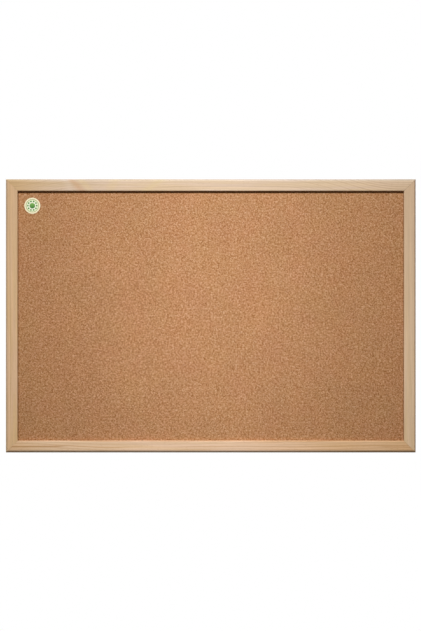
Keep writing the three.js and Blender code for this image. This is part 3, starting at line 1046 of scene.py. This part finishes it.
def granule_heights(across, up):
    """Height over a grid of points: each granule stands at its own level and is a little domed."""
    random = np.random.default_rng(GRANULE_SEED)
    columns = int(np.ceil((across.max() - across.min()) / GRANULE)) + SPARE_CELLS
    rows = int(np.ceil((up.max() - up.min()) / GRANULE)) + SPARE_CELLS
    seed_x = random.random((rows, columns))
    seed_z = random.random((rows, columns))
    level = random.random((rows, columns)) - 0.5
    place_x = (across - across.min()) / GRANULE + 1
    place_z = (up - up.min()) / GRANULE + 1
    cell_x = np.floor(place_x).astype(int)
    cell_z = np.floor(place_z).astype(int)
    nearest = np.full(place_x.shape, np.inf)
    height = np.zeros(place_x.shape)
    for step_x in (-1, 0, 1):
        for step_z in (-1, 0, 1):
            column = np.clip(cell_x + step_x, 0, columns - 1)
            row = np.clip(cell_z + step_z, 0, rows - 1)
            gap_x = column + seed_x[row, column] - place_x
            gap_z = row + seed_z[row, column] - place_z
            far = np.hypot(gap_x, gap_z)
            closer = far < nearest
            nearest = np.where(closer, far, nearest)
            height = np.where(closer, level[row, column], height)
    return height * GRANULE_STEP - np.clip(nearest, 0, 1) ** 2 * GRANULE_DOME


def cork_front(low, high):
    """The sheet's front as rows of points, whose highest granule reaches the CAD face."""
    columns = int(round((high.x - low.x) / CORK_PITCH)) + 1
    rows = int(round((high.z - low.z) / CORK_PITCH)) + 1
    across, up = np.meshgrid(
        np.linspace(low.x, high.x, columns), np.linspace(low.z, high.z, rows)
    )
    relief = granule_heights(across, up)
    relief -= relief.max()
    return np.stack([across, low.y - relief, up], axis=-1)


def cork_faces(index, rim, first):
    """The front's squares, a skirt down from its rim and the back, whose points start at first."""
    corners = [index[:-1, :-1], index[:-1, 1:], index[1:, 1:], index[1:, :-1]]
    faces = np.stack(corners, axis=-1).reshape(-1, 4).tolist()
    count = len(rim)
    for here in range(count):
        after = (here + 1) % count
        faces.append([int(rim[after]), int(rim[here]), first + here, first + after])
    faces.append(list(range(first + count - 1, first - 1, -1)))
    return faces


def cork_mesh(low, high):
    """A closed sheet with a granular front and a flat back."""
    front = cork_front(low, high)
    rows, columns, _ = front.shape
    index = np.arange(rows * columns).reshape(rows, columns)
    rim = np.concatenate([index[0, :-1], index[:-1, -1], index[-1, :0:-1], index[:0:-1, 0]])
    front = front.reshape(-1, 3)
    back = front[rim].copy()
    back[:, 1] = high.y
    mesh = bpy.data.meshes.new("cork_sheet_granular")
    points = np.concatenate([front, back]).tolist()
    mesh.from_pydata(points, [], cork_faces(index, rim, len(front)))
    form = bmesh.new()
    form.from_mesh(mesh)
    bmesh.ops.recalc_face_normals(form, faces=form.faces)
    form.to_mesh(mesh)
    form.free()
    return mesh


def make_cork():
    mesh = cork_mesh(*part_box("cork_sheet"))
    mesh.materials.append(cork_material())
    for polygon in mesh.polygons:
        polygon.use_smooth = len(polygon.vertices) == 4
    piece = add_object("cork_sheet_granular", mesh)
    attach(piece, "board")
    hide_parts("cork_sheet")


def label_side(form, centre, radius, y, rise):
    """One side of the label at that depth, made of rings about its heart. Returns its rim."""
    loops = []
    for ring in range(1, LABEL_RINGS + 1):
        share = ring / LABEL_RINGS
        loop = []
        for spoke in range(LABEL_SPOKES):
            turn = 2 * math.pi * spoke / LABEL_SPOKES
            wave = 0.5 + 0.5 * math.sin(turn * LABEL_CURL_WAVES + LABEL_CURL_TURN)
            point = (
                centre.x + radius * share * math.cos(turn),
                y - rise * share ** LABEL_CURL_POWER * wave,
                centre.z + radius * share * math.sin(turn),
            )
            loop.append(form.verts.new(point))
        loops.append(loop)
    heart = form.verts.new((centre.x, y, centre.z))
    for spoke in range(LABEL_SPOKES):
        after = (spoke + 1) % LABEL_SPOKES
        form.faces.new((heart, loops[0][spoke], loops[0][after]))
        for inner, outer in zip(loops, loops[1:]):
            form.faces.new((inner[spoke], outer[spoke], outer[after], inner[after]))
    return loops[-1]


def label_mesh(low, high, centre, radius):
    """A thin paper disc whose rim curls a little off the cork."""
    rise = LABEL_CURL_SHARE * (high.y - low.y)
    form = bmesh.new()
    front = label_side(form, centre, radius, low.y + rise, rise)
    back = label_side(form, centre, radius, high.y, rise)
    for spoke in range(LABEL_SPOKES):
        after = (spoke + 1) % LABEL_SPOKES
        form.faces.new((front[spoke], back[spoke], back[after], front[after]))
    bmesh.ops.recalc_face_normals(form, faces=form.faces)
    mesh = bpy.data.meshes.new("round_label_printed")
    form.to_mesh(mesh)
    form.free()
    return mesh


def make_label():
    low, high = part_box("round_label")
    centre = (low + high) / 2
    radius = (high.x - low.x) / 2
    mesh = label_mesh(low, high, centre, radius)
    mesh.materials.append(label_material(centre, radius))
    for polygon in mesh.polygons:
        polygon.use_smooth = True
    mesh.set_sharp_from_angle(angle=LABEL_SHARP_ANGLE)
    piece = add_object("round_label_printed", mesh)
    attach(piece, "board")
    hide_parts("round_label")


def make_back():
    sheet = carry_over("hardboard_back", hardboard_material(), bevel=BACK_BEVEL)
    core = carry_over("fibreboard_core", fibreboard_material())


def make_hardware():
    zinc = steel_material("zinc_plate")
    dark = steel_material("blued_steel")
    for name in sorted(nodes):
        if "wedge_nail" in name:
            carry_over(name, dark, bevel=NAIL_BEVEL)
        elif "_point_" in name or name.endswith("_hanger_strap"):
            carry_over(name, zinc, bevel=STEEL_BEVEL)
        elif "_hanger_screw_" in name:
            carry_over(name, zinc, bevel=HEAD_BEVEL)
        elif name.endswith("_hanger_ring"):
            carry_over(name, zinc, rounded=True)


def make_bumpers():
    rubber = rubber_material()
    for name in sorted(nodes):
        if "_bumper_" in name:
            carry_over(name, rubber, bevel=RUBBER_BEVEL)


bpy.context.scene.view_settings.view_transform = "Standard"
make_camera()
make_world()
make_lights()
make_floor()
make_rails()
make_cork()
make_label()
make_back()
make_hardware()
make_bumpers()
